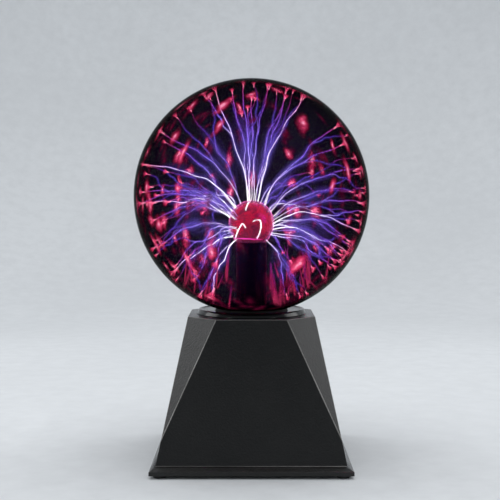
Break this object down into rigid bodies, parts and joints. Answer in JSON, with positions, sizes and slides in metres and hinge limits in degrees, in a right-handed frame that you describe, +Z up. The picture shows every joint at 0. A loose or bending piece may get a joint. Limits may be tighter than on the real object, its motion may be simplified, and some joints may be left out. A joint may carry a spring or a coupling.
{
  "type": "plasma ball lamp",
  "caption": "Gas-filled glass globe with a central electrode, on a faceted black pyramid base with a rear power inlet and slide switch.",
  "frame": {"origin": "bottom centre, on the surface the feet rest on", "axes": "+Z up through the globe, front towards -Y, inlet and switch on the +Y side"},
  "size_m": [0.2, 0.2, 0.3205],
  "materials": {
    "base_black": "fine-grained moulded black ABS",
    "collar_black": "polished black ABS",
    "globe_glass": "blown soda-lime glass, drawn smoky",
    "electrode_glass": "glowing inner bulb glass",
    "plasma_glow": "lit conductive core and discharge",
    "sleeve_black": "black ceramic-filled sleeve",
    "soft_rubber": "moulded rubber",
    "boot_silicone": "red silicone",
    "inner_plastic": "moulded nylon",
    "screw_steel": "zinc-plated steel",
    "switch_steel": "tinned sheet steel",
    "contact_metal": "tinned brass",
    "nut_nickel": "nickel plating",
    "jack_black": "black nylon",
    "board_laminate": "green solder mask on laminate",
    "ferrite": "sintered ferrite",
    "coil_potting": "potting resin",
    "copper_wire": "enamelled copper",
    "sink_aluminium": "extruded aluminium",
    "epoxy_black": "moulded epoxy",
    "can_sleeve": "shrink sleeve",
    "film_case": "dipped case",
    "trimmer_blue": "moulded case",
    "mic_aluminium": "drawn can",
    "connector_white": "nylon",
    "resistor_beige": "painted film resistor",
    "wire_red": "insulated wire",
    "wire_white": "insulated wire"
  },
  "bodies": {
    "lamp": {"base_cover": "base_black", "plinth": "base_black", "collar_ring": "collar_black", "globe": "globe_glass", "globe_neck": "globe_glass", "electrode_bulb": "electrode_glass", "exhaust_tip": "electrode_glass", "electrode_core": "plasma_glow", "stem_sleeve": "sleeve_black", "foot_front_left": "soft_rubber", "foot_front_right": "soft_rubber", "foot_rear_left": "soft_rubber", "foot_rear_right": "soft_rubber", "globe_gasket": "soft_rubber", "neck_grommet": "soft_rubber", "high_voltage_boot": "boot_silicone", "neck_retainer": "inner_plastic", "switch_housing": "inner_plastic", "plinth_screws": "screw_steel", "retainer_screws": "screw_steel", "board_screws": "screw_steel", "transistor_screw": "screw_steel", "switch_screws": "screw_steel", "switch_bracket": "switch_steel", "ferrite_clip": "switch_steel", "dc_jack_pin": "contact_metal", "dc_jack_tag": "contact_metal", "switch_tags": "contact_metal", "electrode_rod": "contact_metal", "dc_jack_nut": "nut_nickel", "dc_jack": "jack_black", "driver_board": "board_laminate", "ferrite_lower": "ferrite", "ferrite_upper": "ferrite", "secondary_coil": "coil_potting", "primary_coil": "copper_wire", "choke": "copper_wire", "heatsink": "sink_aluminium", "power_transistor": "epoxy_black", "timer_chip": "epoxy_black", "supply_capacitor": "can_sleeve", "filter_capacitor": "can_sleeve", "film_capacitor": "film_case", "sensitivity_trimmer": "trimmer_blue", "microphone": "mic_aluminium", "power_connector": "connector_white", "switch_connector": "connector_white", "resistors": "resistor_beige", "power_wires": "wire_red", "high_voltage_lead": "wire_red", "switch_wires": "wire_white"},
    "slider": {"switch_slider": "jack_black"}
  },
  "joints": [
    {"name": "mode_slide", "type": "slide", "parent": "lamp", "child": "slider", "axis": [1, 0, 0], "range_m": [0, 0.008]}
  ]
}
